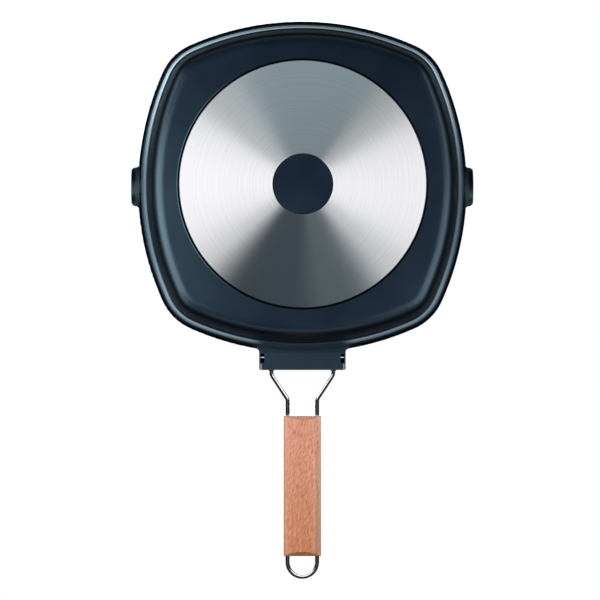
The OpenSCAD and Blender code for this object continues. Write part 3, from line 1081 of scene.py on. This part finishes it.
@dataclass(frozen=True)
class Softbox:
    """A flat lamp that faces a point on the pan.

    Attributes:
        name: The lamp's name.
        turn: Compass angle of the lamp from +X towards +Y, in degrees.
        rise: Angle of the lamp above the pan's rest plane, in degrees.
        away: Distance from the point that it faces, in metres.
        width: Width, level with the floor, in metres.
        height: Height, in metres.
        radiance: Brightness of its face, where 1 renders as white.
        tint: Colour.
        aim: The point that it faces.
        only: The pieces that it lights, or none where it lights them all.
    """

    name: str
    turn: float
    rise: float
    away: float
    width: float
    height: float
    radiance: float
    tint: Colour = WHITE
    aim: Point = (0.0, 0.0, 0.02)
    only: tuple[Piece, ...] = ()

    def build(self, nodes: dict[str, bpy.types.Object]) -> bpy.types.Object:
        """Makes the lamp. Its power is radiance times pi times its area.

        Args:
            nodes: The pieces by name.

        Returns:
            The lamp's object.
        """
        data = bpy.data.lights.new(self.name, "AREA")
        data.shape = "RECTANGLE"
        data.size = self.width
        data.size_y = self.height
        data.energy = self.radiance * math.pi * self.width * self.height
        data.color = self.tint
        lamp = bpy.data.objects.new(self.name, data)
        turn = math.radians(self.turn)
        rise = math.radians(self.rise)
        level = math.cos(rise)
        back = Vector((math.cos(turn) * level, math.sin(turn) * level, math.sin(rise)))
        lamp.location = Vector(self.aim) + self.away * back
        lamp.rotation_mode = "QUATERNION"
        lamp.rotation_quaternion = back.to_track_quat("Z", "Y")
        lamp.visible_camera = False
        if self.only:
            lit = bpy.data.collections.new(f"lit_by_{self.name}")
            for piece in self.only:
                lit.objects.link(nodes[piece.value])
            lamp.light_linking.receiver_collection = lit
        bpy.context.scene.collection.objects.link(lamp)
        return lamp


@dataclass(frozen=True)
class Floor:
    """A pale floor that is seen from above only, and hides nothing from the lamps below.

    Attributes:
        reach: Half its width, in metres.
        drop: How far it lies under the pan, so that no two faces share a plane.
        colour: Its colour near the pan.
        near: Distance from the pan where it starts to fade to plain white.
        far: Distance where it is plain white.
        cells: Number of its faces along each side.
    """

    reach: float = 9.0
    drop: float = 0.0003
    colour: Colour = (0.86, 0.86, 0.86)
    near: float = 0.45
    far: float = 1.5
    cells: int = 8

    def build(self) -> bpy.types.Object:
        """Makes the floor: a level grid of two parameters, x and y from -reach to reach.

        Returns:
            The floor's object, marked as stage.
        """
        row = self.cells + 1
        steps = np.linspace(-self.reach, self.reach, row)
        x, y = np.meshgrid(steps, steps)
        points = np.stack([x, y, np.full_like(x, -self.drop)], axis=-1).reshape(-1, 3)
        cell = np.arange(self.cells)
        corner = (cell[:, None] * row + cell[None, :]).ravel()
        faces = np.stack([corner, corner + 1, corner + row + 1, corner + row], axis=1)
        mesh = bpy.data.meshes.new(Piece.FLOOR.value)
        mesh.from_pydata(points.tolist(), [], faces.tolist())
        mesh.materials.append(self._material())
        floor = bpy.data.objects.new(Piece.FLOOR.value, mesh)
        bpy.context.scene.collection.objects.link(floor)
        return floor

    def _material(self) -> bpy.types.Material:
        """Makes a material that only the camera sees, and only from above.

        Returns:
            The material.
        """
        made = bpy.data.materials.new("pale_floor")
        made.use_nodes = True
        graph = Graph(made.node_tree)
        matt = graph.node("ShaderNodeBsdfDiffuse", {"Color": self.colour})
        white = graph.node("ShaderNodeEmission", {"Color": WHITE, "Strength": 1.0})
        clear = graph.node("ShaderNodeBsdfTransparent")
        away = graph.along(Along.LENGTH, graph.place())
        fade = graph.remap(away, self.near, self.far, smooth=True)
        pale = graph.node("ShaderNodeMixShader", {
            0: fade, 1: matt.outputs[0], 2: white.outputs[0]})
        camera_ray = graph.node("ShaderNodeLightPath").outputs["Is Camera Ray"]
        below = graph.node("ShaderNodeNewGeometry").outputs["Backfacing"]
        seen = graph.sum(Sum.TIMES, camera_ray, graph.sum(Sum.TAKE, 1.0, below))
        skin = graph.node("ShaderNodeMixShader", {
            0: seen, 1: clear.outputs[0], 2: pale.outputs[0]})
        graph.node("ShaderNodeOutputMaterial", {"Surface": skin.outputs[0]})
        return made


@dataclass(frozen=True)
class Surroundings:
    """The world: white to look at, and a dark studio in what metal and coat reflect.

    Attributes:
        ambient: Level of the light that it sheds on matt surfaces.
        ceiling: What shiny surfaces reflect from above the floor.
        well: What they reflect from under the floor.
        soften: Height over which the reflected horizon is softened, as a sine.
    """

    ambient: Colour = (0.07, 0.075, 0.085)
    ceiling: Colour = (0.012, 0.013, 0.015)
    well: Colour = (0.016, 0.021, 0.026)
    soften: float = 0.12

    def build(self) -> None:
        """Makes the world and hangs it in the scene."""
        world = bpy.data.worlds.new("surroundings")
        world.use_nodes = True
        world.cycles.sampling_method = "NONE"
        graph = Graph(world.node_tree)
        path = graph.node("ShaderNodeLightPath").outputs
        direction = graph.node("ShaderNodeTexCoord").outputs["Generated"]
        above = graph.remap(graph.parts(direction)[2], -self.soften, self.soften, smooth=True)
        mirrored = graph.mix(above, self.well, self.ceiling)
        mirror = graph.sum(Sum.MOST, path["Is Glossy Ray"], path["Is Transmission Ray"])
        shed = graph.mix(mirror, self.ambient, mirrored)
        seen = graph.mix(path["Is Camera Ray"], shed, WHITE)
        sky = graph.node("ShaderNodeBackground", {"Color": seen, "Strength": 1.0})
        graph.node("ShaderNodeOutputWorld", {"Surface": sky.outputs[0]})
        bpy.context.scene.world = world


@dataclass(frozen=True)
class PhotoCamera:
    """The photograph's camera, below the pan and looking straight up.

    Attributes:
        place: Where it stands, in metres.
        tilt: How far it leans about the handle's direction, in degrees.
        lens: Focal length on a 36 mm sensor, in mm.
        nearest: Distance where its view starts, in metres.
        furthest: Distance where its view ends.
    """

    place: Point = (0.01737, -0.09626, -1.52207)
    tilt: float = -0.5635
    lens: float = 110.09
    nearest: float = 0.05
    furthest: float = 40.0

    def build(self) -> bpy.types.Object:
        """Makes the camera. In the picture +Y is up and +X is to the left.

        Returns:
            The camera's object, set as the scene's camera.
        """
        data = bpy.data.cameras.new("photo_camera")
        data.lens = self.lens
        data.clip_start = self.nearest
        data.clip_end = self.furthest
        camera = bpy.data.objects.new("photo_camera", data)
        tilt = math.radians(self.tilt)
        ahead = Vector((math.sin(tilt), 0.0, math.cos(tilt)))
        up = Vector((0.0, 1.0, 0.0))
        turned = Matrix((ahead.cross(up), up, -ahead)).transposed().to_4x4()
        camera.matrix_world = Matrix.Translation(self.place) @ turned
        bpy.context.scene.collection.objects.link(camera)
        bpy.context.scene.camera = camera
        return camera


@dataclass(frozen=True)
class Studio:
    """Camera, floor, surroundings and lamps.

    The lamps below the floor light the base as in the photograph, and those above it light
    the pan as it stands. Each is flagged off from the pieces that it isn't meant for.

    Attributes:
        camera: The photograph's camera.
        floor: The floor.
        surroundings: The world.
        lamps: Every lamp.
    """

    camera: PhotoCamera = PhotoCamera()
    floor: Floor = Floor()
    surroundings: Surroundings = Surroundings()
    lamps: Sequence[Softbox] = (
        Softbox("low_left", turn=-5.0, rise=-31.0, away=0.62, width=1.00, height=0.30,
                radiance=7.6, only=RING_AND_GRIP),
        Softbox("low_right", turn=190.0, rise=-31.0, away=0.85, width=1.40, height=0.60,
                radiance=5.0, only=RING_AND_GRIP),
        Softbox("edge_left", turn=-5.0, rise=-20.0, away=0.62, width=1.00, height=0.12,
                radiance=6.2, tint=(0.88, 0.97, 1.0), only=CASTING_ONLY),
        Softbox("edge_right", turn=185.0, rise=-22.0, away=0.85, width=1.35, height=0.26,
                radiance=3.8, tint=(0.84, 0.94, 1.0), only=CASTING_ONLY),
        Softbox("coat_left", turn=-8.0, rise=-42.0, away=0.42, width=0.30, height=0.30,
                radiance=7.0, tint=(0.80, 0.95, 1.0), only=CASTING_ONLY),
        Softbox("coat_right", turn=205.0, rise=-42.0, away=0.50, width=0.40, height=0.30,
                radiance=3.6, tint=(0.80, 0.92, 1.0), only=CASTING_ONLY),
        Softbox("back_card", turn=80.0, rise=58.0, away=0.90, width=1.60, height=0.70,
                radiance=0.06, tint=(0.80, 0.93, 1.0), only=CASTING_ONLY),
        Softbox("low_top", turn=90.0, rise=-10.0, away=0.45, width=0.60, height=0.02,
                radiance=4.0, tint=(0.76, 0.92, 1.0), only=NOT_THE_WIRE),
        Softbox("low_bottom", turn=-90.0, rise=-24.0, away=1.15, width=1.20, height=0.10,
                radiance=4.0, tint=(0.86, 0.94, 1.0), only=NOT_THE_WIRE),
        Softbox("ring_card", turn=90.0, rise=-45.0, away=0.45, width=0.50, height=0.30,
                radiance=1.6, tint=(0.70, 0.93, 1.0), only=RING_ONLY),
        Softbox("wire_card", turn=90.0, rise=-40.0, away=0.50, width=1.60, height=0.62,
                radiance=2.0, aim=(0.0, -0.25, 0.044), only=WIRE_ONLY),
        Softbox("neck_card", turn=0.0, rise=-90.0, away=0.60, width=0.16, height=0.50,
                radiance=0.26, tint=(0.85, 0.96, 1.0), aim=(0.0, -0.20, 0.044),
                only=WIRE_ONLY),
        Softbox("high_top", turn=60.0, rise=82.0, away=1.50, width=1.00, height=0.80,
                radiance=7.0),
        Softbox("high_key", turn=20.0, rise=12.0, away=1.60, width=0.90, height=0.50,
                radiance=3.0, tint=(1.0, 0.99, 0.97), only=FLOOR_AND_GRIP),
        Softbox("high_fill", turn=160.0, rise=14.0, away=1.60, width=0.90, height=0.50,
                radiance=2.4, tint=(0.96, 0.98, 1.0), only=FLOOR_AND_GRIP),
    )

    def build(self, nodes: dict[str, bpy.types.Object]) -> None:
        """Builds everything round the pan and reports it.

        Args:
            nodes: The pieces by name.
        """
        bpy.context.scene.view_settings.view_transform = "Standard"
        self.camera.build()
        lit = {**nodes, Piece.FLOOR.value: self.floor.build()}
        self.surroundings.build()
        for lamp in self.lamps:
            lamp.build(lit)
            LOG.info("lamp %s: radiance %.2f", lamp.name, lamp.radiance)


def main() -> None:
    """Loads the frame, dresses the pan, and sets up the studio."""
    logging.basicConfig(level=logging.INFO, format="%(message)s")
    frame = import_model()
    for assembly in (CastPan(frame), WireHandle(frame)):
        assembly.dress()
    Studio().build(frame["nodes"])


if __name__ == "__main__":
    main()
